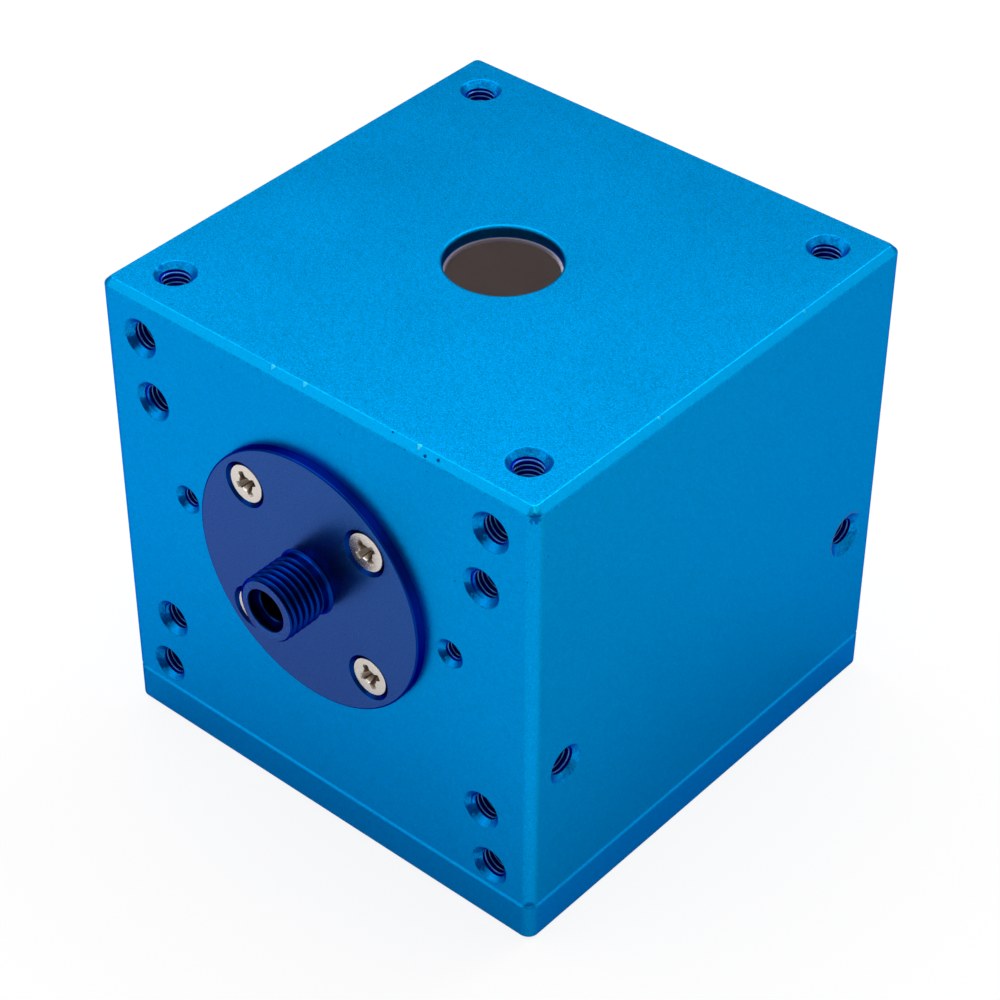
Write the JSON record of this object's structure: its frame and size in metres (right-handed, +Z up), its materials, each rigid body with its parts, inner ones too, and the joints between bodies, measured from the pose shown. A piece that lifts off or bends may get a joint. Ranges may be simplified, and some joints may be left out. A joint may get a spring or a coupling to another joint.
{
  "type": "integrating sphere",
  "caption": "Small cube-shaped integrating sphere with a round sample port on top, a threaded fibre port in front and tapped mounting holes.",
  "frame": {"origin": "centre of the cube's underside, on the surface that it stands on", "axes": "+X to the right along the front face, -Y out of the front face along the fibre port, +Z up out of the sample port"},
  "size_m": [0.05, 0.0562, 0.0493],
  "materials": {
    "blue_anodised": "bead-blasted and anodised bright blue",
    "violet_anodised": "turned and anodised dark blue",
    "bright_steel": "satin nickel",
    "white_diffuser": "sintered matte white"
  },
  "bodies": {
    "root": {"housing": "blue_anodised", "base_plate": "blue_anodised", "fibre_adapter": "violet_anodised", "flange_screws": "bright_steel", "base_screws": "bright_steel", "upper_diffuser_half": "white_diffuser", "lower_diffuser_half": "white_diffuser", "baffle": "white_diffuser"}
  },
  "joints": []
}
